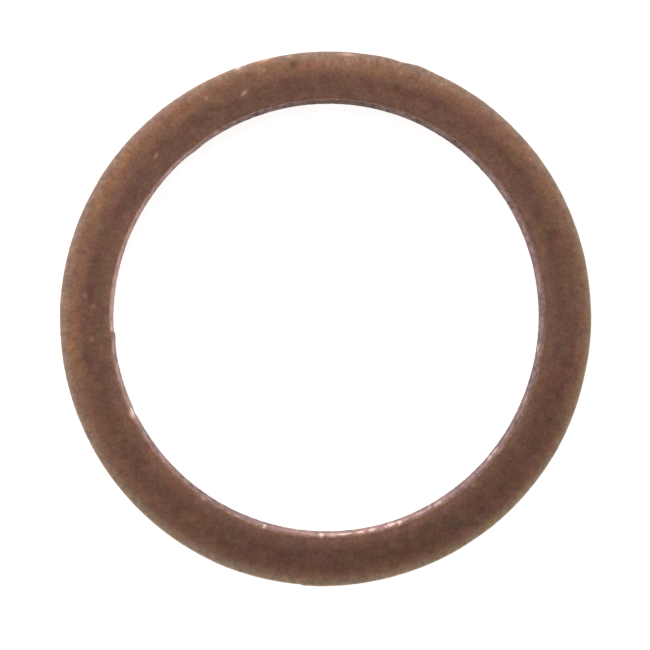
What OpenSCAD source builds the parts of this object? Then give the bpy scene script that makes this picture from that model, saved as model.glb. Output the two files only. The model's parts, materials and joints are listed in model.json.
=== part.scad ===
// Copper sealing washer for an oil drain plug.
// One solid ring: its section is turned round the Z axis, and the washer lies flat on the plane z = 0.
// Both faces are alike, so it can be fitted either way up. All sizes are in millimetres.

/* [Washer] */
// Diameter of the plug's thread, which passes through the bore
thread_d = 16; // [10:1:30]
// How much wider the bore is than the thread
bore_clearance = 0.2; // [0.1:0.05:0.5]
// Width of the copper from the bore to the rim
ring_w = 1.85; // [1.5:0.05:4]
// Thickness between the two sealing faces
thickness = 1.5; // [1:0.1:3]

/* [Sealing faces] */
// Width of the flat land in the middle of each face
land_w = 0.25; // [0.1:0.05:0.6]
// Width of the rounded shoulder from the land to the bore; the rest of the face falls to the rim
mouth_shoulder_w = 0.55; // [0.3:0.05:1]

/* [Edges] */
// How far below the land the straight wall of the bore begins
mouth_drop = 0.1; // [0.08:0.01:0.3]
// Radius of the edge round the mouth of the bore
mouth_edge_r = 0.07; // [0.03:0.01:0.09]
// How far below the land the straight wall of the rim begins
rim_drop = 0.38; // [0.2:0.01:0.5]
// Radius of the edge round the rim
rim_edge_r = 0.15; // [0.05:0.01:0.19]

/* [Hidden] */

$fa = 2;
$fs = 0.03;

bore_r = (thread_d + bore_clearance) / 2;
outer_r = bore_r + ring_w;
rim_shoulder_w = ring_w - land_w - mouth_shoulder_w;
// how far a cutting shape stands out past the surface that it cuts
overshoot = 0.5;

// What is taken off one square corner of the section. The corner is at the origin, with the wall
// along +Y and the face along +X. The shoulder is an arc that starts level with the land, and the
// edge is a smaller arc that carries on from it without a kink, down to the wall.
module corner_cut(shoulder_w, drop, edge_r) {
    // the edge's circle touches the wall and, from inside, the shoulder's circle
    shoulder_r = (pow(shoulder_w - edge_r, 2) + pow(drop, 2) - pow(edge_r, 2)) / (2 * (drop - edge_r));
    joint_x = edge_r * (shoulder_r - shoulder_w) / (shoulder_r - edge_r);

    difference() {
        translate([-overshoot, -overshoot]) square([overshoot + shoulder_w, overshoot + drop]);
        // the shoulder's circle, up to the point where the edge's circle touches it
        intersection() {
            translate([shoulder_w, shoulder_r]) circle(r = shoulder_r);
            translate([joint_x, -overshoot]) square([shoulder_w, overshoot + 2 * drop]);
        }
        translate([edge_r, drop]) circle(r = edge_r);
    }
}

// A cut at the lower face, repeated at the upper face
module both_faces() {
    children();
    translate([0, thickness]) mirror([0, 1]) children();
}

// Half of the washer cut through its axis
module section() {
    difference() {
        translate([bore_r, 0]) square([ring_w, thickness]);
        translate([bore_r, 0]) both_faces()
            corner_cut(mouth_shoulder_w, mouth_drop, mouth_edge_r);
        translate([outer_r, 0]) mirror([1, 0]) both_faces()
            corner_cut(rim_shoulder_w, rim_drop, rim_edge_r);
    }
}

module washer() {
    color([0.45, 0.32, 0.26]) rotate_extrude() section();
}

washer();
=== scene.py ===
"""Looks of the copper drain plug washer: one finely detailed ring that stands for the CAD solid.

Lengths are in millimetres until a mesh, a material or the camera is made. Angles are clock angles:
degrees clockwise from the top of the photograph, which is +Y, seen from above.
"""
import json
import math
from collections import namedtuple

import bpy
import numpy as np
from mathutils import Matrix, Vector, noise


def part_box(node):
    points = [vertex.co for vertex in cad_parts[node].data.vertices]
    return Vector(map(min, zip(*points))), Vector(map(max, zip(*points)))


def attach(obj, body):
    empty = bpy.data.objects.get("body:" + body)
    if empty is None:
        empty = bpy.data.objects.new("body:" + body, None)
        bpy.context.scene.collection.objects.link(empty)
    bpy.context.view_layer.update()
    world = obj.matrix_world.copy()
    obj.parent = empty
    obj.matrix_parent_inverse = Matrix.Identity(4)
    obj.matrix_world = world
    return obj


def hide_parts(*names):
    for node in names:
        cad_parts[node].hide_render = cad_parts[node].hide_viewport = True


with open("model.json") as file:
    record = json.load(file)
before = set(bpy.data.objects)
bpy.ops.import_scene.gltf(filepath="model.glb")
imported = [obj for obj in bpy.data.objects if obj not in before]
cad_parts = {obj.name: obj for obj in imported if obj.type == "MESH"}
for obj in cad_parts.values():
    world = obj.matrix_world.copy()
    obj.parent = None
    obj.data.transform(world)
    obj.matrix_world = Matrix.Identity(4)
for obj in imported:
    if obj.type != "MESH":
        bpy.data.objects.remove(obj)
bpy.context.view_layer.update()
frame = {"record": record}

MM = 0.001

# Sizes that the frame gives
low_corner, high_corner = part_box("washer")
mounts = {mount["name"]: mount for mount in frame["record"]["mounts"]}
BORE_R = mounts["bore"]["dims"]["r_mm"]
RIM_R = (high_corner.x - low_corner.x) / 2 / MM
THICKNESS = (high_corner.z - low_corner.z) / MM
WALL_DROP = (THICKNESS - mounts["bore"]["dims"]["length_mm"]) / 2

# The section's other sizes, as in the solid
LAND_W = 0.25
MOUTH_SHOULDER_W = 0.55
MOUTH_EDGE_R = 0.07
RIM_DROP = 0.38
RIM_EDGE_R = 0.15
RIM_SHOULDER_W = RIM_R - BORE_R - LAND_W - MOUTH_SHOULDER_W

# Mesh density: steps round the ring, and steps along each stretch of half a section
ANGLE_STEPS = 1020
Steps = namedtuple("Steps", "bore_wall mouth_edge mouth_shoulder land rim_shoulder rim_edge rim_wall")
UPPER_STEPS = Steps(6, 7, 12, 4, 18, 5, 4)
LOWER_STEPS = Steps(5, 5, 8, 3, 11, 4, 4)

# The layout for baked textures: strips of the unrolled ring, one above another, and the gap that
# each keeps from its neighbours, as a share of the image's side
MAP_STRIPS = 3
MAP_GAP = 0.004

# What wear and handling did to the ring.
# Oval: how far the radius grows at the clock angle where it is largest, in so many lobes round the
# ring. A count of 0 changes the whole circle's radius, and a count of 1 shifts it sideways.
Lobes = namedtuple("Lobes", "count height clock")
RIM_LOBES = [Lobes(1, 0.046, 241), Lobes(2, 0.0385, 25), Lobes(3, 0.010, 36), Lobes(4, 0.010, 35)]
BORE_LOBES = [Lobes(0, -0.016, 0), Lobes(1, 0.010, 348), Lobes(2, 0.0267, 19), Lobes(3, 0.016, 36)]

# Places where a wall stands out of its oval, or into it where the height is negative
Swell = namedtuple("Swell", "clock height half_width")
RIM_SWELLS = [
    Swell(12.0, 0.014, 2.0),
    Swell(16.0, -0.020, 1.5),
    Swell(20.0, 0.040, 2.2),
    Swell(45.0, -0.012, 6.0),
    Swell(83.0, -0.012, 4.0),
    Swell(103.0, -0.014, 4.0),
    Swell(121.0, 0.008, 6.0),
    Swell(204.0, 0.012, 5.0),
    Swell(273.0, 0.012, 4.0),
    Swell(341.8, -0.012, 1.2),
]
BORE_SWELLS = [
    Swell(322.0, -0.030, 2.5),
    Swell(244.0, 0.022, 1.2),
]

# Ledges grow slowly from the first clock angle and end in a step at the second
Ledge = namedtuple("Ledge", "grows_from ends_at height")
RIM_LEDGE = Ledge(166.0, 185.3, 0.026)
BORE_LEDGE = Ledge(259.8, 265.9, -0.045)

# The bore's wall round the clock: how light it is, where 1 is clean copper, and how far its film is
# mauve instead of tan. The lightness is painted light: painted shade at the top, where the wall faces
# away from the light, and painted highlights towards the bottom, where it faces the light.
Shade = namedtuple("Shade", "clock level mauve")
WALL_PAINTED_LIGHT_AND_MAUVE = [
    Shade(0, 0.50, 0.3),
    Shade(20, 0.56, 0.3),
    Shade(45, 0.73, 0.3),
    Shade(70, 0.88, 0.4),
    Shade(110, 0.88, 0.5),
    Shade(135, 0.98, 0.6),
    Shade(148, 1.12, 0.5),
    Shade(172, 1.35, 0.1),
    Shade(185, 1.25, 0.3),
    Shade(195, 0.97, 0.4),
    Shade(215, 0.82, 0.3),
    Shade(235, 0.87, 0.2),
    Shade(250, 1.00, 0.3),
    Shade(280, 1.14, 0.2),
    Shade(300, 0.95, 0.1),
    Shade(330, 0.74, 0.2),
    Shade(345, 0.55, 0.3),
]

# Bare scrapes and torn beads on the bore's wall: clock angle and depth below the upper face of the
# middle, half sizes round and down the wall, how far it stands out, and how bare the metal is
Scrape = namedtuple("Scrape", "clock depth half_length half_height height bare")
SCRAPES = [
    Scrape(98.1, 1.00, 0.12, 0.20, 0.010, 0.5),
    Scrape(112.2, 0.70, 0.12, 0.30, 0.000, 0.2),
    Scrape(128.6, 0.80, 0.12, 0.30, 0.008, 0.5),
    Scrape(130.6, 0.85, 0.14, 0.30, 0.005, 0.5),
    Scrape(149.2, 0.55, 0.16, 0.35, 0.005, 0.5),
    Scrape(151.6, 0.80, 0.10, 0.25, 0.000, 0.5),
    Scrape(154.6, 0.60, 0.16, 0.30, 0.000, 0.4),
    Scrape(160.9, 0.45, 0.10, 0.40, 0.020, 1.0),
    Scrape(163.3, 0.60, 0.18, 0.40, 0.010, 0.9),
    Scrape(168.3, 0.50, 0.13, 0.28, 0.020, 0.9),
    Scrape(171.5, 0.50, 0.13, 0.28, 0.010, 0.9),
    Scrape(175.8, 0.45, 0.26, 0.22, 0.020, 0.9),
    Scrape(179.0, 0.50, 0.18, 0.38, 0.008, 0.5),
    Scrape(181.9, 0.40, 0.10, 0.38, 0.025, 1.0),
    Scrape(197.2, 0.35, 0.08, 0.30, 0.030, 1.0),
    Scrape(204.5, 0.30, 0.15, 0.20, 0.000, 0.2),
    Scrape(244.3, 0.52, 0.17, 0.40, 0.015, 1.0),
    Scrape(267.4, 0.60, 0.09, 0.25, 0.010, 0.7),
]

# Marks on the upper face. The long way of a mark leans from the clockwise tangent to the rim by
# its turn. Its tone lightens or darkens the patina and its bare part is clean metal.
Mark = namedtuple("Mark", "clock radius length width turn height tone bare")
MARKS = [
    Mark(4.2, 9.840, 0.26, 0.045, 0, -0.003, 0.8, 0.50),
    Mark(138.9, 8.214, 0.07, 0.070, 0, 0.003, 0.8, 0.12),
    Mark(196.8, 8.150, 0.12, 0.050, 0, 0.000, 0.6, 0.05),
    Mark(214.8, 8.150, 0.09, 0.060, 0, 0.002, 0.9, 0.40),
    Mark(244.0, 8.140, 0.13, 0.060, 0, -0.006, 1.0, 0.75),
    Mark(258.2, 8.790, 0.08, 0.070, 0, 0.002, 0.5, 0.02),
    Mark(265.1, 8.771, 0.08, 0.080, 0, 0.003, 0.9, 0.14),
    Mark(273.0, 8.714, 0.08, 0.080, 45, 0.002, 1.0, 0.12),
    Mark(275.3, 9.010, 0.12, 0.070, 20, 0.003, 1.0, 0.12),
    Mark(313.3, 8.765, 0.12, 0.045, 20, 0.002, 0.9, 0.24),
    Mark(315.6, 8.690, 0.06, 0.060, 0, 0.002, 0.5, 0.06),
    Mark(331.0, 9.320, 0.05, 0.080, 0, 0.002, 0.9, 0.12),
    Mark(339.4, 8.900, 0.13, 0.050, 22, -0.006, 1.0, 0.50),
    Mark(340.1, 9.870, 0.09, 0.060, 0, -0.006, 1.0, 0.80),
    Mark(346.2, 9.880, 0.22, 0.050, 0, -0.003, 0.6, 0.45),
    Mark(351.3, 9.840, 0.12, 0.040, 0, -0.004, 0.8, 0.20),
    Mark(352.4, 9.520, 0.14, 0.150, 0, -0.006, -0.7, 0.0),
]

# Stains in the film on the upper face, the broad ones first. A half turn is in degrees. Light and
# dark ones change its tone, and the others are films of their own.
Stain = namedtuple("Stain", "clock radius half_turn half_width film share")
STAINS = [
    Stain(0, 8.50, 12, 0.15, "dark", 0.15),
    Stain(17, 8.90, 10, 0.10, "dark", 0.10),
    Stain(65, 8.30, 20, 0.12, "light", 0.15),
    Stain(88, 8.90, 12, 0.15, "light", 0.20),
    Stain(92, 9.05, 12, 0.14, "light", 0.10),
    Stain(125, 9.45, 16, 0.15, "dark", 0.18),
    Stain(135, 8.40, 18, 0.25, "dark", 0.18),
    Stain(172, 9.50, 25, 0.20, "light", 0.10),
    Stain(180, 8.85, 30, 0.12, "dark", 0.12),
    Stain(192, 8.35, 12, 0.15, "dark", 0.15),
    Stain(214, 8.16, 16, 0.07, "light", 0.14),
    Stain(215, 9.60, 15, 0.15, "dark", 0.15),
    Stain(240, 8.35, 22, 0.20, "light", 0.15),
    Stain(240, 8.75, 18, 0.22, "light", 0.10),
    Stain(250, 9.80, 22, 0.14, "dark", 0.18),
    Stain(262, 8.14, 62, 0.09, "light", 0.42),
    Stain(268, 9.30, 10, 0.20, "light", 0.16),
    Stain(283, 8.30, 10, 0.12, "light", 0.18),
    Stain(290, 9.15, 24, 0.14, "light", 0.10),
    Stain(298, 8.22, 20, 0.07, "light", 0.14),
    Stain(301, 8.97, 8, 0.14, "light", 0.35),
    # A painted highlight along the rim's edge towards the top left, where the light falls
    Stain(330, 9.90, 14, 0.06, "light", 0.45),
    Stain(330, 8.50, 20, 0.18, "dark", 0.20),
    Stain(337, 9.35, 16, 0.20, "dark", 0.20),
    # These two are a painted highlight: a peach glint on the rim at the top, where the light falls
    Stain(3.5, 9.60, 5, 0.22, "peach", 0.50),
    Stain(4.4, 9.74, 2.2, 0.09, "peach", 0.7),
    Stain(10.5, 9.36, 4, 0.20, "gold", 0.35),
    Stain(11.4, 8.54, 1.5, 0.09, "dark", 0.15),
    Stain(16.4, 8.87, 1.5, 0.12, "dark", 0.25),
    Stain(16.5, 9.55, 1.2, 0.20, "peach", 0.45),
    Stain(18.4, 8.65, 3, 0.07, "rust", 0.44),
    Stain(22.0, 8.94, 2.5, 0.11, "dark", 0.22),
    Stain(25.6, 9.63, 2, 0.13, "peach", 0.55),
    Stain(26.5, 8.75, 1, 0.10, "dark", 0.18),
    Stain(31.6, 9.63, 3.5, 0.10, "gold", 0.45),
    Stain(32.8, 9.54, 1.4, 0.12, "light", 0.25),
    Stain(33.8, 8.45, 1.3, 0.11, "olive", 0.52),
    Stain(37.6, 9.35, 3.5, 0.20, "rose", 0.30),
    Stain(41.5, 8.30, 1.2, 0.10, "gold", 0.50),
    Stain(47.7, 9.42, 2, 0.12, "gold", 0.45),
    Stain(50.6, 8.33, 1.2, 0.10, "rose", 0.47),
    Stain(51.1, 8.89, 2.3, 0.12, "dark", 0.25),
    Stain(52.7, 9.62, 3, 0.15, "peach", 0.40),
    Stain(55.7, 8.33, 1.5, 0.10, "olive", 0.44),
    Stain(60.7, 9.42, 4, 0.20, "gold", 0.35),
    Stain(61.7, 8.89, 1.5, 0.12, "grey", 0.34),
    Stain(65.7, 8.26, 1.2, 0.08, "rose", 0.72),
    Stain(68.3, 8.42, 3, 0.10, "olive", 0.56),
    Stain(71.8, 8.78, 2.5, 0.11, "dark", 0.30),
    Stain(72.8, 9.08, 3, 0.10, "rust", 0.48),
    Stain(76.9, 8.78, 2.5, 0.08, "dark", 0.18),
    Stain(79.9, 9.31, 4, 0.20, "olive", 0.36),
    Stain(82.9, 9.47, 2, 0.09, "grey", 0.38),
    Stain(88.0, 9.35, 2, 0.20, "grey", 0.26),
    Stain(95.0, 9.47, 2, 0.10, "grey", 0.45),
    Stain(96.6, 8.82, 2.2, 0.22, "grey", 0.45),
    Stain(97.6, 8.19, 2.5, 0.07, "olive", 0.64),
    Stain(98.1, 9.43, 1.5, 0.06, "rust", 0.44),
    Stain(102.6, 9.68, 2.5, 0.07, "olive", 0.64),
    Stain(105.1, 8.56, 3, 0.15, "rust", 0.32),
    Stain(107.6, 9.66, 1.5, 0.09, "olive", 0.64),
    Stain(107.7, 8.27, 2, 0.08, "rust", 0.56),
    Stain(109.2, 8.71, 1, 0.12, "rose", 0.34),
    Stain(112.7, 9.52, 1.6, 0.13, "olive", 0.48),
    Stain(115.2, 9.29, 2, 0.20, "dark", 0.12),
    Stain(117.2, 9.63, 1.5, 0.10, "olive", 0.48),
    Stain(117.2, 8.64, 2, 0.10, "dark", 0.20),
    Stain(124.8, 9.25, 1.5, 0.13, "grey", 0.41),
    Stain(126.8, 8.46, 1.5, 0.07, "olive", 0.52),
    Stain(127.8, 9.61, 3, 0.08, "rust", 0.36),
    Stain(131.4, 8.39, 2, 0.08, "olive", 0.36),
    Stain(141.4, 9.74, 2.8, 0.10, "olive", 0.68),
    Stain(143.4, 9.38, 1.5, 0.16, "grey", 0.38),
    Stain(143.9, 9.77, 0.7, 0.06, "rust", 0.48),
    Stain(147.5, 9.00, 1.8, 0.26, "grey", 0.45),
    Stain(148.0, 8.20, 1.2, 0.05, "gold", 0.70),
    Stain(150.9, 9.63, 2, 0.08, "olive", 0.48),
    Stain(153.5, 8.48, 3, 0.08, "olive", 0.36),
    Stain(155.5, 9.39, 1, 0.12, "olive", 0.40),
    Stain(155.5, 8.26, 3, 0.06, "gold", 0.50),
    Stain(163.5, 9.13, 3, 0.20, "dark", 0.15),
    Stain(164.5, 9.68, 3, 0.07, "olive", 0.44),
    Stain(166.4, 8.53, 1, 0.07, "olive", 0.48),
    Stain(171.6, 8.44, 2, 0.05, "rust", 0.64),
    Stain(184.5, 9.77, 4, 0.08, "gold", 0.45),
    Stain(187.6, 8.59, 3, 0.10, "grey", 0.41),
    Stain(188.4, 8.33, 1, 0.04, "dark", 0.40),
    Stain(191.6, 9.07, 2.5, 0.20, "dark", 0.14),
    Stain(193.1, 8.20, 1.8, 0.05, "gold", 0.70),
    Stain(198.5, 9.27, 1.5, 0.12, "dark", 0.20),
    Stain(200.6, 8.25, 1.2, 0.05, "olive", 0.48),
    Stain(205.1, 8.38, 1.2, 0.10, "olive", 0.48),
    Stain(206.5, 9.58, 1.5, 0.12, "olive", 0.52),
    Stain(209.5, 8.66, 1.5, 0.10, "rust", 0.48),
    Stain(213.4, 9.75, 3, 0.08, "rose", 0.34),
    Stain(213.5, 8.94, 4, 0.28, "gold", 0.30),
    Stain(215.0, 8.74, 0.8, 0.07, "rust", 0.76),
    Stain(223.0, 8.43, 3, 0.12, "rust", 0.44),
    Stain(224.4, 9.10, 1.5, 0.12, "rose", 0.42),
    Stain(227.4, 9.17, 2, 0.28, "dark", 0.12),
    Stain(230.4, 8.65, 2, 0.10, "rose", 0.38),
    Stain(231.3, 9.79, 3, 0.09, "olive", 0.40),
    Stain(231.9, 8.36, 1.8, 0.10, "gold", 0.65),
    Stain(234.2, 8.32, 0.7, 0.07, "rose", 0.81),
    Stain(240.9, 8.58, 4, 0.22, "olive", 0.28),
    Stain(243.3, 8.24, 1.5, 0.09, "rust", 0.48),
    Stain(243.8, 9.63, 1.5, 0.08, "peach", 0.45),
    Stain(243.8, 8.26, 1.1, 0.06, "rust", 0.8),
    Stain(248.8, 8.84, 1.8, 0.13, "dark", 0.15),
    Stain(250.3, 8.33, 2, 0.05, "grey", 0.45),
    Stain(253.7, 9.03, 2, 0.20, "gold", 0.35),
    Stain(261.6, 9.07, 2.5, 0.14, "dark", 0.20),
    Stain(262.1, 9.56, 6, 0.18, "gold", 0.55),
    Stain(262.1, 8.62, 1.5, 0.08, "rust", 0.40),
    Stain(266.1, 8.42, 4.5, 0.10, "olive", 0.64),
    Stain(270.1, 9.33, 3, 0.18, "rust", 0.40),
    Stain(276.5, 8.88, 2.5, 0.13, "dark", 0.25),
    Stain(278.5, 8.44, 4, 0.12, "olive", 0.68),
    Stain(283.4, 8.29, 2.5, 0.06, "olive", 0.48),
    Stain(284.9, 8.80, 3, 0.12, "dark", 0.15),
    Stain(288.9, 9.36, 1.5, 0.10, "rust", 0.40),
    Stain(290.3, 8.32, 2, 0.07, "olive", 0.40),
    Stain(296.3, 9.47, 2.2, 0.13, "gold", 0.80),
    Stain(302.7, 8.53, 1.2, 0.10, "dark", 0.18),
    Stain(302.7, 9.01, 3, 0.12, "rose", 0.34),
    Stain(302.7, 9.54, 1.5, 0.12, "rust", 0.36),
    Stain(305.7, 8.90, 1.5, 0.12, "olive", 0.72),
    Stain(306.7, 8.53, 2, 0.15, "grey", 0.34),
    Stain(308.7, 9.57, 3, 0.16, "gold", 0.50),
    Stain(313.4, 8.77, 0.9, 0.06, "peach", 0.50),
    Stain(313.6, 9.00, 1.2, 0.10, "light", 0.28),
    Stain(317.1, 8.23, 1.5, 0.08, "grey", 0.45),
    Stain(318.6, 8.59, 2, 0.15, "olive", 0.32),
    Stain(319.6, 9.64, 2, 0.10, "rose", 0.38),
    Stain(324.6, 9.65, 1.4, 0.14, "rust", 0.45),
    Stain(325.5, 8.81, 2, 0.15, "dark", 0.18),
    Stain(326.6, 9.29, 1, 0.12, "rust", 0.44),
    Stain(328.6, 9.67, 2, 0.12, "peach", 0.40),
    Stain(332.5, 8.40, 1.2, 0.12, "peach", 0.25),
    Stain(339.4, 8.92, 0.9, 0.07, "peach", 0.6),
    Stain(340.9, 8.19, 1.2, 0.07, "olive", 0.60),
    Stain(344.5, 9.50, 1.5, 0.15, "peach", 0.40),
    Stain(344.9, 8.46, 3, 0.10, "olive", 0.36),
    Stain(345.9, 8.31, 2, 0.08, "rust", 0.52),
    Stain(346.0, 9.15, 1.0, 0.20, "rust", 0.35),
    Stain(346.4, 9.78, 1.9, 0.12, "gold", 1.0),
    Stain(348.9, 8.90, 0.7, 0.30, "dark", 0.22),
    Stain(349.8, 9.05, 0.7, 0.25, "dark", 0.16),
    Stain(352.9, 8.89, 0.6, 0.30, "dark", 0.12),
    Stain(354.5, 9.38, 2, 0.20, "rust", 0.36),
]

# Noise laid over the ring's points: size of its lumps, its seed, how many times longer they are
# along the axis, and how much they change, in mm where they move the surface and else as a share
Noise = namedtuple("Noise", "size seed drawn_out reach")
WAVES = Noise(1.5, 3.7, 1, 0.0060)
LUMPS = Noise(0.40, 11.3, 1, 0.0036)
GRAIN = Noise(0.2, 23.9, 1, 0.0011)
BURR = Noise(0.13, 41.1, 1, 0.016)
BURR_PATCHES = Noise(1.1, 57.7, 1, 0.6)
GRIT = Noise(0.15, 113.9, 1, 0.007)
SCRAPE_EDGES = Noise(0.10, 71.3, 4, 0.9)
SCRAPE_STRANDS = Noise(0.07, 127.9, 14, 0.4)
STAIN_EDGES = Noise(0.15, 95.1, 1, 0.5)
WALL_BLOTCHES = Noise(0.45, 83.9, 3, 0.25)
WALL_SPECKS = Noise(0.15, 107.3, 5, 0.40)
MAUVE_DRIFT = Noise(0.25, 101.7, 4, 0.8)

# The land has only been pressed flat, and has this share of the waves, lumps and grain
LAND_SHARE = 0.6

# The lip round the bore's mouths: its half width, where and how far round it is torn most, and how
# bare its beads are elsewhere and there
LIP_HALF_WIDTH = 0.10
TORN_CLOCK, TORN_HALF_TURN = 172, 38
LIP_BARE, TORN_BARE = 0.20, 0.35

# Grit on the rim's edges: its distance from the face, its half width and how much it changes the tone
GRIT_DEPTH, GRIT_HALF_WIDTH, GRIT_TONE = 0.25, 0.22, 0.5

# How far from its own wall a swell moves the surface, and the degrees that a ledge's step takes
SWELL_REACH = 0.35
LEDGE_STEP = 0.7

# Clock angles where the film is warmest and the rim is painted lighter, towards the light, and where
# the bore's mouths are grimiest. Grime is thickest along the mouth: how thick on the wall and the
# face, and how much of the tone it takes.
WARM_AND_LIT_CLOCK, GRIMY_CLOCK = 325, 110
WALL_GRIME, FACE_GRIME, GRIME_TONE = 0.45, 0.85, 0.45

# Level of the bore's wall at which its painted shade is full
FULL_PAINTED_SHADE_LEVEL = 0.28

# Colours of the copper and of the films on it
RED_PATINA = (0.300, 0.141, 0.106, 1)
OLIVE_PATINA = (0.281, 0.155, 0.096, 1)
MAROON_PATINA = (0.287, 0.133, 0.109, 1)
GOLD_PATINA = (0.300, 0.153, 0.092, 1)
MOUTH_COPPER = (0.355, 0.185, 0.133, 1)
# Lighter peach film on the rim's side towards the light: partly painted light, partly a warmer film
RIM_PEACH_LIT = (0.365, 0.235, 0.183, 1)
RIM_OLIVE = (0.292, 0.208, 0.142, 1)
FILM_COLOURS = {
    "olive": (0.270, 0.187, 0.084, 1),
    "rust": (0.365, 0.135, 0.078, 1),
    "gold": (0.420, 0.212, 0.105, 1),
    "peach": (0.460, 0.270, 0.190, 1),
    "rose": (0.360, 0.155, 0.145, 1),
    "grey": (0.225, 0.168, 0.132, 1),
}
WALL_TAN = (0.250, 0.128, 0.092, 1)
WALL_MAUVE = (0.225, 0.112, 0.110, 1)
# Dark film for painted shade on the bore's wall, and for grime at its mouths
WALL_SHADE_AND_GRIME = (0.170, 0.125, 0.112, 1)
# Painted highlight on the bore's wall where it faces the light
PAINTED_HIGHLIGHT_COPPER = (0.620, 0.340, 0.280, 1)
BARE_COPPER = (0.930, 0.640, 0.540, 1)

# Colours of what the metal reflects at flat angles
PLAIN_EDGE = (1, 1, 1, 1)
TAN_EDGE = (0.990, 0.905, 0.865, 1)
MAUVE_EDGE = (0.930, 0.865, 0.950, 1)
# Dark reflection for painted shade on the bore's wall, and for grime at its mouths
EDGE_SHADE_AND_GRIME = (0.100, 0.085, 0.090, 1)

# Noise in the material: size of its lumps in mm, its detail and seed, the stretch of its values that
# counts, and the values that the stretch's ends become
Speckle = namedtuple("Speckle", "size detail seed start end low high")
OLIVE_BLOTCHES = Speckle(0.9, 4.0, 5.0, 0.35, 0.65, 0.0, 1.0)
MAROON_BLOTCHES = Speckle(0.6, 4.0, 17.0, 0.50, 0.72, 0.0, 1.0)
RUST_FLECKS = Speckle(0.20, 2.0, 89.0, 0.57, 0.72, 0.0, 0.38)
OLIVE_FLECKS = Speckle(0.20, 2.0, 97.0, 0.57, 0.72, 0.0, 0.35)
BRIGHT_SPECKS = Speckle(0.11, 2.0, 29.0, 0.3, 0.7, 0.85, 1.15)
CLOUDS = Speckle(0.34, 3.0, 37.0, 0.3, 0.7, 0.87, 1.13)
MATT_AREAS = Speckle(0.4, 2.0, 43.0, 0.3, 0.7, 0.39, 0.46)

# Faint lines on the outer shoulder that run outwards: their width, length and seed, and how much
# they lighten and darken
LINE_WIDTH, LINE_LENGTH, LINE_SEED, LINE_LEVEL = 0.11, 0.35, 53.0, 0.10

# Share of gold in the patina where it is most golden, the brightness at the darkest and lightest
# tone, and how much smoother bare metal is
GOLD_SHARE = 0.8
DARKEST, LIGHTEST = 0.5, 1.5
BARE_SMOOTHNESS = 0.14

# Relief too fine for the mesh: its depth, pits everywhere, and lines along the axis on the bore's
# wall. Each has a size in mm, a detail and a seed, and the lines are drawn out along the axis.
RELIEF_DEPTH = 0.0009
PITS = (0.09, 3.0, 61.0)
DRAG_LINES = (0.07, 2.0, 71.0, (1, 1, 25))

# The floor: half its side, how far it lies below the ring, its white, and the light that it adds to
# its own shading where it is looked at
FLOOR_HALF_SIDE = 2000
FLOOR_DROP = 0.02
FLOOR_WHITE = 0.85
FLOOR_GLOW = 0.70

# Strength of the light tent: straight above, what it gains towards the horizon, and its lean to
# the photograph's right and top, which fades towards the horizon
TENT_ABOVE = 0.36
TENT_HORIZON = 0.71
TENT_RIGHT = -0.38
TENT_TOP = 0.86

# The camera: its distance, its lean from straight above towards the photograph's top and left in
# degrees, what it aims at, and its focal length and sensor
CAMERA_DISTANCE = 64.0
CAMERA_LEAN_UP = 0.7
CAMERA_LEAN_LEFT = 1.9
CAMERA_AIM = (-0.110, -0.248, THICKNESS / 2)
CAMERA_LENS = 93.34
CAMERA_SENSOR = 36


def bell(distance, half_width):
    """1 in the middle, falling to 0 past the half width."""
    return np.exp(-((distance / half_width) ** 2))


def smooth_step(value, start, end):
    """0 up to the start, 1 from the end on, and a smooth rise between."""
    t = np.clip((value - start) / (end - start), 0, 1)
    return t * t * (3 - 2 * t)


def turn_from(clock, centre):
    """Signed degrees clockwise from a clock angle."""
    return (clock - centre + 180) % 360 - 180


def side_towards(clock, centre):
    """1 at a clock angle, falling to 0 at the opposite one."""
    return 0.5 + 0.5 * np.cos(np.radians(clock - centre))


def noise_field(points, kind):
    """Smooth noise of a kind, about -1 to 1, without its reach."""
    scaled = points / (kind.size, kind.size, kind.size * kind.drawn_out) + kind.seed
    flat = [noise.noise(Vector(point)) for point in scaled.reshape(-1, 3)]
    return np.array(flat).reshape(points.shape[:-1])


def shoulder_radius(width, drop, edge_r):
    """Radius of a shoulder that starts level with the land and holds the edge's circle inside it."""
    return ((width - edge_r) ** 2 + drop**2 - edge_r**2) / (2 * (drop - edge_r))


def straight(start, end, normal, steps):
    """Points from start up to but not including end, each with the stretch's normal."""
    places = [i / steps for i in range(steps)]
    return [
        (start[0] + (end[0] - start[0]) * u, start[1] + (end[1] - start[1]) * u, *normal)
        for u in places
    ]


def arc(centre, radius, tilt_from, tilt_to, steps):
    """Points on an arc. A tilt is the normal's angle from +Z towards the rim, in radians."""
    rows = []
    for i in range(steps):
        tilt = tilt_from + (tilt_to - tilt_from) * i / steps
        normal = (math.sin(tilt), math.cos(tilt))
        rows.append((centre[0] + radius * normal[0], centre[1] + radius * normal[1], *normal))
    return rows


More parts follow.
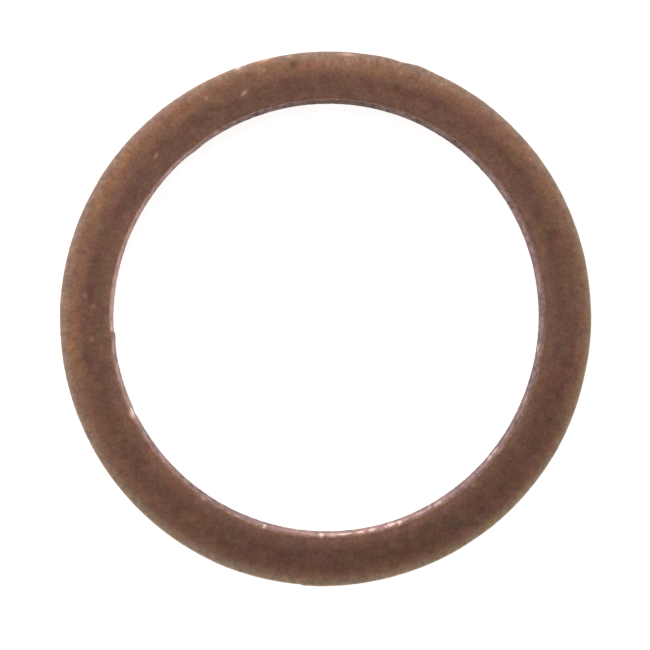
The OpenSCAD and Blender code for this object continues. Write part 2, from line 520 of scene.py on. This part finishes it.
def half_section(steps):
    """The section's upper half, from the middle of the bore wall to the middle of the rim wall."""
    mouth_r = shoulder_radius(MOUTH_SHOULDER_W, WALL_DROP, MOUTH_EDGE_R)
    mouth_tilt = -math.asin((MOUTH_SHOULDER_W - MOUTH_EDGE_R) / (mouth_r - MOUTH_EDGE_R))
    rim_r = shoulder_radius(RIM_SHOULDER_W, RIM_DROP, RIM_EDGE_R)
    rim_tilt = math.asin((RIM_SHOULDER_W - RIM_EDGE_R) / (rim_r - RIM_EDGE_R))
    land_from = BORE_R + MOUTH_SHOULDER_W
    land_to = RIM_R - RIM_SHOULDER_W
    top = THICKNESS
    middle = THICKNESS / 2
    mouth_centre = (BORE_R + MOUTH_EDGE_R, top - WALL_DROP)
    rim_centre = (RIM_R - RIM_EDGE_R, top - RIM_DROP)
    quarter = math.pi / 2
    return [
        *straight((BORE_R, middle), (BORE_R, top - WALL_DROP), (-1, 0), steps.bore_wall),
        *arc(mouth_centre, MOUTH_EDGE_R, -quarter, mouth_tilt, steps.mouth_edge),
        *arc((land_from, top - mouth_r), mouth_r, mouth_tilt, 0, steps.mouth_shoulder),
        *straight((land_from, top), (land_to, top), (0, 1), steps.land),
        *arc((land_to, top - rim_r), rim_r, 0, rim_tilt, steps.rim_shoulder),
        *arc(rim_centre, RIM_EDGE_R, rim_tilt, quarter, steps.rim_edge),
        *straight((RIM_R, top - RIM_DROP), (RIM_R, middle), (1, 0), steps.rim_wall),
    ]


def whole_section():
    """Rows of radius, height and normal once round the section, out over the top and back below."""
    upper = half_section(UPPER_STEPS)
    lower = half_section(LOWER_STEPS)
    rim_middle = (RIM_R, THICKNESS / 2, 1.0, 0.0)
    mirrored = [(r, THICKNESS - z, nr, -nz) for r, z, nr, nz in lower[1:]]
    return np.array(upper + [rim_middle] + mirrored[::-1])


def section_shares(section):
    """How far round the section each point lies, from 0 to 1, with the first point again at the end."""
    closed = np.vstack([section, section[:1]])
    lengths = np.hypot(*np.diff(closed[:, :2], axis=0).T)
    return np.concatenate([[0], np.cumsum(lengths)]) / lengths.sum()


def oval_offset(clock, lobes):
    """How far the oval lies outside the true circle at each clock angle."""
    offset = np.zeros_like(clock)
    for lobe in lobes:
        offset += lobe.height * np.cos(np.radians(lobe.count * (clock - lobe.clock)))
    return offset


def bump_offset(clock, swells, ledge):
    """How far a wall lies outside its oval at each clock angle."""
    offset = np.zeros_like(clock)
    for swell in swells:
        offset += swell.height * bell(turn_from(clock, swell.clock), swell.half_width)
    length = ledge.ends_at - ledge.grows_from
    along = turn_from(clock, ledge.grows_from) / length
    step = LEDGE_STEP / length
    offset += ledge.height * smooth_step(along, 0, 1) * (1 - smooth_step(along, 1, 1 + step))
    return offset


def mark_field(mark, clock, radius):
    """1 in the middle of a mark, falling to 0 past its length and width."""
    turn = math.radians(mark.turn)
    along = np.radians(turn_from(clock, mark.clock)) * mark.radius
    out = radius - mark.radius
    lengthwise = along * math.cos(turn) + out * math.sin(turn)
    sidewise = out * math.cos(turn) - along * math.sin(turn)
    return bell(lengthwise, mark.length) * bell(sidewise, mark.width)


class Surface:
    """The ring's points as a grid, one row per clock angle, with the wear that each point has."""

    def __init__(self):
        section = whole_section()
        shape = (ANGLE_STEPS, len(section))
        clock_column = np.arange(ANGLE_STEPS)[:, None] * 360 / ANGLE_STEPS
        self.clock = np.broadcast_to(clock_column, shape)
        self.radius = np.broadcast_to(section[:, 0], shape).copy()
        self.height = np.broadcast_to(section[:, 1], shape).copy()
        self.normal_r = np.broadcast_to(section[:, 2], shape)
        self.normal_z = np.broadcast_to(section[:, 3], shape)
        self.upper = self.height > THICKNESS / 2
        self.true_points = self.points()
        self.mouth_distance = np.hypot(self.radius - BORE_R, self.depth() - WALL_DROP)
        self.lip = bell(self.mouth_distance, LIP_HALF_WIDTH)
        self.below_face = THICKNESS - self.height
        self.on_bore = 1 - smooth_step(self.radius, BORE_R + 0.04, BORE_R + 0.12)
        self.bare = np.zeros(shape)
        self.tone = np.zeros(shape)
        self.films = {name: np.zeros(shape) for name in FILM_COLOURS}

    def depth(self):
        """How far each point lies from the plane of the nearer face."""
        return np.minimum(self.height, THICKNESS - self.height)

    def points(self):
        angle = np.radians(self.clock)
        x = self.radius * np.sin(angle)
        y = self.radius * np.cos(angle)
        return np.stack([x, y, self.height], axis=-1)

    def push(self, amount):
        """Moves the surface outwards along the section's own normals."""
        self.radius += amount * self.normal_r
        self.height += amount * self.normal_z

    def bend_outline(self):
        """The oval shifts the whole section, and the bumps only what is near their own wall."""
        from_bore = self.radius - BORE_R
        from_rim = RIM_R - self.radius
        share = from_bore / (RIM_R - BORE_R)
        bore_oval = oval_offset(self.clock, BORE_LOBES)
        rim_oval = oval_offset(self.clock, RIM_LOBES)
        bore_bumps = bump_offset(self.clock, BORE_SWELLS, BORE_LEDGE)
        rim_bumps = bump_offset(self.clock, RIM_SWELLS, RIM_LEDGE)
        self.radius += bore_oval * (1 - share) + rim_oval * share
        self.radius += bore_bumps * (1 - smooth_step(from_bore, 0, SWELL_REACH))
        self.radius += rim_bumps * (1 - smooth_step(from_rim, 0, SWELL_REACH))

    def noise(self, kind):
        """Noise of a kind at each point, as far as it reaches."""
        return kind.reach * noise_field(self.true_points, kind)

    def roughen(self):
        """Lumps and hollows of all sizes, less on the land."""
        on_land = np.abs(self.normal_z) > 0.9999
        amount = self.noise(WAVES) + self.noise(LUMPS) + self.noise(GRAIN)
        self.push(amount * np.where(on_land, LAND_SHARE, 1.0))

    def raise_burr(self):
        """The torn lip round both mouths of the bore, bare where it stands out most."""
        torn = noise_field(self.true_points, BURR)
        most_torn = bell(turn_from(self.clock, TORN_CLOCK), TORN_HALF_TURN)
        self.push(BURR.reach * torn * self.lip * (0.6 + 0.4 * most_torn))
        on_wall = 1 - smooth_step(self.radius, BORE_R, BORE_R + 0.06)
        share = LIP_BARE * (1 - most_torn) + TORN_BARE * most_torn * on_wall
        shine = smooth_step(torn + self.noise(BURR_PATCHES), 0.05, 0.5) * self.lip * share
        self.bare = np.maximum(self.bare, shine)

    def raise_grit(self):
        """Fine grit round both edges of the rim."""
        rim_edge = bell(np.hypot(self.radius - RIM_R, self.depth() - GRIT_DEPTH), GRIT_HALF_WIDTH)
        grit = noise_field(self.true_points, GRIT) * rim_edge
        self.push(GRIT.reach * grit)
        self.tone += GRIT_TONE * grit

    def add_scrapes(self):
        """Bare places on the bore's wall, ragged and split into strands along the axis."""
        ragged = 1 + self.noise(SCRAPE_EDGES)
        strands = self.noise(SCRAPE_STRANDS)
        for scrape in SCRAPES:
            along = np.radians(turn_from(self.clock, scrape.clock)) * BORE_R
            down = self.below_face - scrape.depth
            spot = bell(along, scrape.half_length) * bell(down, scrape.half_height) * self.on_bore
            self.push(scrape.height * spot)
            shine = smooth_step(spot * ragged + strands * np.sqrt(spot), 0.10, 0.55)
            self.bare = np.maximum(self.bare, scrape.bare * shine)

    def add_stains(self):
        """Films, and lighter and darker places, with ragged edges."""
        ragged = 1 + self.noise(STAIN_EDGES)
        for stain in STAINS:
            turn = bell(turn_from(self.clock, stain.clock), stain.half_turn)
            spot = turn * bell(self.radius - stain.radius, stain.half_width) * self.upper
            spot *= stain.share * ragged
            if stain.film == "light":
                self.tone += spot
            elif stain.film == "dark":
                self.tone -= spot
            else:
                self.films[stain.film] = np.maximum(self.films[stain.film], spot)

    def add_marks(self):
        """Dents, nicks and scratches."""
        for mark in MARKS:
            spot = mark_field(mark, self.clock, self.radius) * self.upper
            self.push(mark.height * spot)
            self.tone += mark.tone * spot
            self.bare = np.maximum(self.bare, mark.bare * spot)

    def press_flat(self):
        """Nothing stands out past the two planes that the ring was pressed between."""
        self.height = np.clip(self.height, 0, THICKNESS)

    def wear(self):
        self.bend_outline()
        self.roughen()
        self.raise_burr()
        self.raise_grit()
        self.add_scrapes()
        self.add_stains()
        self.add_marks()
        self.press_flat()

    def zones(self):
        """Values that the material mixes its colours by, from 0 to 1, and the tone from -1 to 1."""
        inner_half = self.radius < (BORE_R + RIM_R) / 2
        wall = smooth_step(np.abs(self.normal_r), 0.60, 0.95) * inner_half
        rim_wall = smooth_step(self.normal_r, 0.75, 1.0)
        clocks, levels, mauves = zip(*WALL_PAINTED_LIGHT_AND_MAUVE)
        # The wall's painted shade and painted highlight round the clock, with random blotches and specks
        wall_painted_light = np.interp(self.clock, clocks, levels, period=360)
        wall_painted_light *= 1 + self.noise(WALL_BLOTCHES) + self.noise(WALL_SPECKS)
        # Share of painted shade where the wall is painted darker than clean copper
        dark_share = np.clip((1 - wall_painted_light) / (1 - FULL_PAINTED_SHADE_LEVEL), 0, 1)
        mauve = np.interp(self.clock, clocks, mauves, period=360) + self.noise(MAUVE_DRIFT)
        warm_and_lit_side = side_towards(self.clock, WARM_AND_LIT_CLOCK)
        wall_grime = WALL_GRIME * (1 - smooth_step(self.mouth_distance, 0.05, 0.35))
        face_grime = FACE_GRIME * bell(self.mouth_distance, 0.12)
        grime = np.where(self.normal_r < -0.99, wall_grime, face_grime)
        grime *= side_towards(self.clock, GRIMY_CLOCK)
        near_mouth = 1 - smooth_step(self.radius, BORE_R + 0.15, BORE_R + 0.65)
        return {
            "bare": np.clip(self.bare, 0, 1),
            "tone": np.clip(self.tone - GRIME_TONE * grime, -1, 1),
            "wall": wall,
            # Painted shade on the wall, and grime along the mouths
            "dull": np.maximum(wall * dark_share, grime),
            # Painted highlight where the wall's painted light passes clean copper
            "bright": wall * np.clip(wall_painted_light - 1, 0, 1),
            "mauve": np.clip(mauve, 0, 1),
            "golden_side": smooth_step(self.radius, BORE_R + 0.9, BORE_R + 1.3) * warm_and_lit_side,
            "warm": warm_and_lit_side,
            "outer": smooth_step(self.radius, BORE_R + 0.8, BORE_R + 1.4) * (0.3 + 0.7 * warm_and_lit_side),
            "mouth": near_mouth * (self.depth() < 0.5),
            "rim": smooth_step(self.radius, RIM_R - 0.42, RIM_R - 0.08) * (1 - 0.6 * rim_wall),
            **{name: np.clip(values, 0, 1) for name, values in self.films.items()},
        }


def lay_out_flat(mesh):
    """Gives every face its place in the strips. The seams run inside the bore and across the ring."""
    shares = section_shares(whole_section())
    steps_in_strip = ANGLE_STEPS // MAP_STRIPS
    j, k = np.divmod(np.arange(len(mesh.polygons)), len(shares) - 1)
    strip, step = np.divmod(j, steps_in_strip)
    along = np.stack([step, step + 1, step + 1, step], axis=-1) / steps_in_strip
    across = np.stack([shares[k], shares[k], shares[k + 1], shares[k + 1]], axis=-1)
    u = MAP_GAP + (1 - 2 * MAP_GAP) * along
    v = strip[:, None] / MAP_STRIPS + MAP_GAP + (1 / MAP_STRIPS - 2 * MAP_GAP) * across
    layout = mesh.uv_layers.new(name="OFBake")
    layout.uv.foreach_set("vector", np.stack([u, v], axis=-1).reshape(-1).astype(np.float32))


def ring_mesh():
    """The worn ring as one closed mesh of quads, with the zones as attributes of its points."""
    surface = Surface()
    surface.wear()
    rows, count = surface.clock.shape
    j = np.arange(rows)[:, None]
    k = np.arange(count)[None, :]
    j_next = (j + 1) % rows
    k_next = (k + 1) % count
    corners = [j * count + k, j_next * count + k, j_next * count + k_next, j * count + k_next]
    faces = np.stack(np.broadcast_arrays(*corners), axis=-1).reshape(-1, 4)
    points = surface.points().reshape(-1, 3) * MM
    mesh = bpy.data.meshes.new("washer_ring")
    mesh.from_pydata(points.tolist(), [], faces.tolist())
    for name, values in surface.zones().items():
        attribute = mesh.attributes.new(name, "FLOAT", "POINT")
        attribute.data.foreach_set("value", values.reshape(-1).astype(np.float32))
    mesh.update()
    mesh.shade_smooth()
    lay_out_flat(mesh)
    return mesh


class Nodes:
    """Short calls for one node tree. Each input takes a number, a colour or another node's socket."""

    def __init__(self, tree):
        self.nodes = tree.nodes
        self.links = tree.links

    def feed(self, socket, value):
        if isinstance(value, bpy.types.NodeSocket):
            self.links.new(value, socket)
        else:
            socket.default_value = value

    def math(self, operation, a, b=0.0, clamp=False):
        node = self.nodes.new("ShaderNodeMath")
        node.operation = operation
        node.use_clamp = clamp
        self.feed(node.inputs[0], a)
        self.feed(node.inputs[1], b)
        return node.outputs[0]

    def vector(self, operation, a, b=(0, 0, 0)):
        node = self.nodes.new("ShaderNodeVectorMath")
        node.operation = operation
        self.feed(node.inputs[0], a)
        self.feed(node.inputs[1], b)
        return node

    def mix(self, factor, a, b, blend="MIX"):
        node = self.nodes.new("ShaderNodeMix")
        node.data_type = "RGBA"
        node.blend_type = blend
        self.feed(node.inputs["Factor"], factor)
        self.feed(node.inputs[6], a)
        self.feed(node.inputs[7], b)
        return node.outputs[2]

    def spread(self, value, start, end, to_start=0.0, to_end=1.0):
        """Maps start..end to to_start..to_end, and holds the end values outside."""
        node = self.nodes.new("ShaderNodeMapRange")
        node.inputs["From Min"].default_value = start
        node.inputs["From Max"].default_value = end
        node.inputs["To Min"].default_value = to_start
        node.inputs["To Max"].default_value = to_end
        self.feed(node.inputs["Value"], value)
        return node.outputs["Result"]

    def attribute(self, name):
        node = self.nodes.new("ShaderNodeAttribute")
        node.attribute_name = name
        return node.outputs["Fac"]

    def noise(self, size, detail, seed, stretch=(1, 1, 1)):
        """Noise of a lump size in mm. A stretch makes the lumps that many times longer along X, Y or Z."""
        place = self.nodes.new("ShaderNodeTexCoord").outputs["Object"]
        mapping = self.nodes.new("ShaderNodeMapping")
        mapping.inputs["Location"].default_value = (seed, seed * 0.7, seed * 1.3)
        mapping.inputs["Scale"].default_value = [1 / (size * MM * times) for times in stretch]
        texture = self.nodes.new("ShaderNodeTexNoise")
        texture.inputs["Scale"].default_value = 1
        texture.inputs["Detail"].default_value = detail
        self.links.new(place, mapping.inputs["Vector"])
        self.links.new(mapping.outputs["Vector"], texture.inputs["Vector"])
        return texture.outputs["Fac"]

    def speckle(self, kind):
        """Noise of a kind, spread between its low and its high value."""
        return self.spread(self.noise(*kind[:3]), *kind[3:])

    def ray_noise(self, width, length, seed):
        """Noise drawn out along the lines that run from the axis to the rim."""
        place = self.nodes.new("ShaderNodeTexCoord").outputs["Object"]
        level_place = self.vector("MULTIPLY", place, (1, 1, 0)).outputs["Vector"]
        distance = self.vector("LENGTH", level_place).outputs["Value"]
        direction = self.vector("NORMALIZE", level_place).outputs["Vector"]
        turn = self.vector("SCALE", direction)
        turn.inputs["Scale"].default_value = RIM_R / width
        outwards = self.math("MULTIPLY", distance, 1 / (length * MM))
        height = self.nodes.new("ShaderNodeCombineXYZ")
        self.feed(height.inputs["Z"], self.math("ADD", outwards, seed))
        both = self.vector("ADD", turn.outputs["Vector"], height.outputs["Vector"])
        texture = self.nodes.new("ShaderNodeTexNoise")
        texture.inputs["Scale"].default_value = 1
        self.links.new(both.outputs["Vector"], texture.inputs["Vector"])
        return texture.outputs["Fac"]


def grey(level):
    return (level, level, level, 1)


def face_patina(tree):
    """The faces' film: three browns that drift into each other, and the coloured films on them."""
    patina = tree.mix(tree.speckle(OLIVE_BLOTCHES), RED_PATINA, OLIVE_PATINA)
    patina = tree.mix(tree.speckle(MAROON_BLOTCHES), patina, MAROON_PATINA)
    golden = tree.math("MULTIPLY", tree.attribute("golden_side"), GOLD_SHARE)
    patina = tree.mix(golden, patina, GOLD_PATINA)
    patina = tree.mix(tree.attribute("mouth"), patina, MOUTH_COPPER)
    # The rim is peach and lighter towards the top left, where the light leans: partly painted light,
    # partly a warmer film
    rim_film = tree.mix(tree.attribute("warm"), RIM_OLIVE, RIM_PEACH_LIT)
    patina = tree.mix(tree.attribute("rim"), patina, rim_film)
    for name, film in FILM_COLOURS.items():
        patina = tree.mix(tree.attribute(name), patina, film)
    patina = tree.mix(tree.speckle(RUST_FLECKS), patina, FILM_COLOURS["rust"])
    return tree.mix(tree.speckle(OLIVE_FLECKS), patina, FILM_COLOURS["olive"])


def wall_film(tree):
    """The film on the bore's wall, tan or mauve, darker with painted shade and with grime at the mouth."""
    clean = tree.mix(tree.attribute("mauve"), WALL_TAN, WALL_MAUVE)
    return tree.mix(tree.attribute("dull"), clean, WALL_SHADE_AND_GRIME)


def brightness(tree):
    """How light the film is, as a grey: specks, clouds, lines that run outwards, and the tone."""
    lines = tree.ray_noise(LINE_WIDTH, LINE_LENGTH, LINE_SEED)
    lines = tree.spread(lines, 0.3, 0.7, -LINE_LEVEL, LINE_LEVEL)
    lines = tree.math("MULTIPLY", lines, tree.attribute("outer"))
    level = tree.math("MULTIPLY", tree.speckle(BRIGHT_SPECKS), tree.speckle(CLOUDS))
    level = tree.math("MULTIPLY", level, tree.math("ADD", lines, 1.0))
    tone = tree.spread(tree.attribute("tone"), -1, 1, DARKEST, LIGHTEST)
    level = tree.math("MULTIPLY", level, tone)
    shade = tree.nodes.new("ShaderNodeCombineColor")
    for socket in shade.inputs:
        tree.feed(socket, level)
    return shade.outputs["Color"]


def edge_tint(tree):
    """What the metal reflects at flat angles: less where the wall has painted shade, and where grime lies
    at its mouth.
    """
    wall_edge = tree.mix(tree.attribute("mauve"), TAN_EDGE, MAUVE_EDGE)
    clean_edge = tree.mix(tree.attribute("wall"), PLAIN_EDGE, wall_edge)
    covered = tree.math("SUBTRACT", 1.0, tree.attribute("bare"))
    dark_share = tree.math("MULTIPLY", tree.attribute("dull"), covered)
    return tree.mix(dark_share, clean_edge, EDGE_SHADE_AND_GRIME)


def fine_relief(tree):
    """Pits everywhere, and drag lines along the axis on the bore's wall."""
    drag = tree.math("MULTIPLY", tree.noise(*DRAG_LINES), tree.attribute("wall"))
    bump = tree.nodes.new("ShaderNodeBump")
    bump.inputs["Distance"].default_value = RELIEF_DEPTH * MM
    tree.feed(bump.inputs["Height"], tree.math("ADD", tree.noise(*PITS), drag))
    return bump.outputs["Normal"]


def copper_material():
    material = bpy.data.materials.new("copper")
    material.use_nodes = True
    tree = Nodes(material.node_tree)
    shader = material.node_tree.nodes["Principled BSDF"]
    bare = tree.attribute("bare")
    patina = tree.mix(tree.attribute("wall"), face_patina(tree), wall_film(tree))
    patina = tree.mix(1.0, patina, brightness(tree), "MULTIPLY")
    # Painted highlight on the bore's wall where it faces the light
    patina = tree.mix(tree.attribute("bright"), patina, PAINTED_HIGHLIGHT_COPPER)
    tree.feed(shader.inputs["Base Color"], tree.mix(bare, patina, BARE_COPPER))
    tree.feed(shader.inputs["Specular Tint"], edge_tint(tree))
    shader.inputs["Metallic"].default_value = 1
    smoother = tree.math("MULTIPLY", bare, BARE_SMOOTHNESS)
    roughness = tree.math("SUBTRACT", tree.speckle(MATT_AREAS), smoother)
    tree.feed(shader.inputs["Roughness"], roughness)
    tree.feed(shader.inputs["Normal"], fine_relief(tree))
    return material


def add_ring():
    """The one piece that shows. It stands for the CAD solid and rides on the root body."""
    ring = bpy.data.objects.new("washer_ring", ring_mesh())
    bpy.context.scene.collection.objects.link(ring)
    ring.data.materials.append(copper_material())
    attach(ring, "root")
    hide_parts("washer")


def seen_directly(tree):
    """1 where a camera, glossy or transmission ray looks, so that gloss shows the background too."""
    path = tree.nodes.new("ShaderNodeLightPath")
    camera_or_glossy = tree.math("MAXIMUM", path.outputs["Is Camera Ray"], path.outputs["Is Glossy Ray"])
    return tree.math("MAXIMUM", camera_or_glossy, path.outputs["Is Transmission Ray"])


def add_floor():
    """A plain white floor, with a little light of its own where a ray looks at it directly."""
    mesh = bpy.data.meshes.new("floor")
    directions = [(-1, -1), (1, -1), (1, 1), (-1, 1)]
    side = FLOOR_HALF_SIDE * MM
    corners = [(x * side, y * side, -FLOOR_DROP * MM) for x, y in directions]
    mesh.from_pydata(corners, [], [(0, 1, 2, 3)])
    floor = bpy.data.objects.new("floor", mesh)
    bpy.context.scene.collection.objects.link(floor)
    material = bpy.data.materials.new("floor")
    material.use_nodes = True
    tree = Nodes(material.node_tree)
    tree.nodes.clear()
    output = tree.nodes.new("ShaderNodeOutputMaterial")
    both = tree.nodes.new("ShaderNodeAddShader")
    diffuse = tree.nodes.new("ShaderNodeBsdfDiffuse")
    diffuse.inputs["Color"].default_value = grey(FLOOR_WHITE)
    glow = tree.nodes.new("ShaderNodeEmission")
    glow.inputs["Color"].default_value = grey(FLOOR_GLOW)
    tree.feed(glow.inputs["Strength"], seen_directly(tree))
    tree.feed(both.inputs[0], diffuse.outputs[0])
    tree.feed(both.inputs[1], glow.outputs[0])
    tree.feed(output.inputs["Surface"], both.outputs[0])
    mesh.materials.append(material)


def add_world():
    """A light tent: dim straight above, brighter all round, brighter towards the top left."""
    world = bpy.data.worlds.new("tent")
    bpy.context.scene.world = world
    world.use_nodes = True
    tree = Nodes(world.node_tree)
    direction = tree.nodes.new("ShaderNodeTexCoord").outputs["Generated"]
    split = tree.nodes.new("ShaderNodeSeparateXYZ")
    tree.feed(split.inputs[0], direction)
    upright = tree.math("MULTIPLY", split.outputs["Z"], split.outputs["Z"])
    level = tree.spread(upright, 1, 0, TENT_ABOVE, TENT_ABOVE + TENT_HORIZON)
    right = tree.math("MULTIPLY", split.outputs["X"], TENT_RIGHT)
    top = tree.math("MULTIPLY", split.outputs["Y"], TENT_TOP)
    lean = tree.math("MULTIPLY", tree.math("ADD", right, top), upright)
    background = tree.nodes["Background"]
    background.inputs["Color"].default_value = grey(1)
    tree.feed(background.inputs["Strength"], tree.math("ADD", level, lean))


def add_camera():
    """The photograph's view: nearly straight down, leaning a little from the left of the picture."""
    lean_up = math.radians(CAMERA_LEAN_UP)
    lean_left = math.radians(CAMERA_LEAN_LEFT)
    eye = Vector((-math.tan(lean_left), math.tan(lean_up), 1)).normalized() * CAMERA_DISTANCE
    look = (Vector(CAMERA_AIM) - eye).normalized()
    right = look.cross(Vector((0, 1, 0))).normalized()
    up = right.cross(look)
    camera = bpy.data.objects.new("camera", bpy.data.cameras.new("camera"))
    camera.data.sensor_width = CAMERA_SENSOR
    camera.data.lens = CAMERA_LENS
    camera.data.clip_start = MM
    camera.location = eye * MM
    camera.rotation_euler = Matrix((right, up, -look)).transposed().to_euler()
    bpy.context.scene.collection.objects.link(camera)
    bpy.context.scene.camera = camera


add_ring()
add_floor()
add_world()
add_camera()
bpy.context.scene.view_settings.view_transform = "Standard"
